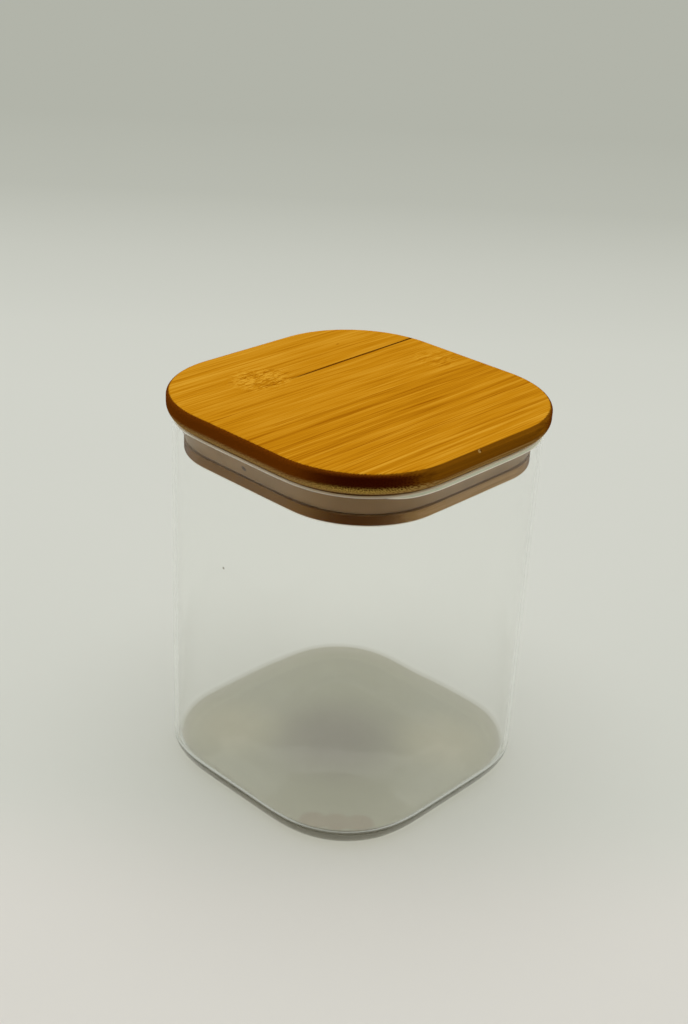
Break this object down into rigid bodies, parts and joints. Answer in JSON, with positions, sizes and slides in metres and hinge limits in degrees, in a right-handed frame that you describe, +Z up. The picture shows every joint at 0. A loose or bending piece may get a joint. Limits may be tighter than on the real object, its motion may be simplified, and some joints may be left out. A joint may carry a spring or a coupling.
{
  "type": "glass storage jar",
  "caption": "Square clear glass storage jar with large round corners and a push-fit bamboo lid sealed by a flared silicone ring.",
  "frame": {"origin": "centre of the underside, on the surface that the jar stands on", "axes": "+Z up along the jar's axis; the lid's grain runs along Y, and the sides face X and Y"},
  "size_m": [0.1, 0.1, 0.126],
  "materials": {
    "glass": "clear borosilicate, fire-polished rim",
    "bamboo": "oiled bamboo, satin",
    "bamboo_plug": "sanded bamboo, dry",
    "silicone": "translucent silicone, matt"
  },
  "bodies": {
    "jar": {"glass_jar": "glass"},
    "lid": {"lid_board": "bamboo", "lid_plug": "bamboo_plug", "lid_seal": "silicone"}
  },
  "joints": [
    {"name": "lid_lift", "type": "slide", "parent": "jar", "child": "lid", "axis": [0, 0, 1], "range_m": [0, 0.03]}
  ]
}
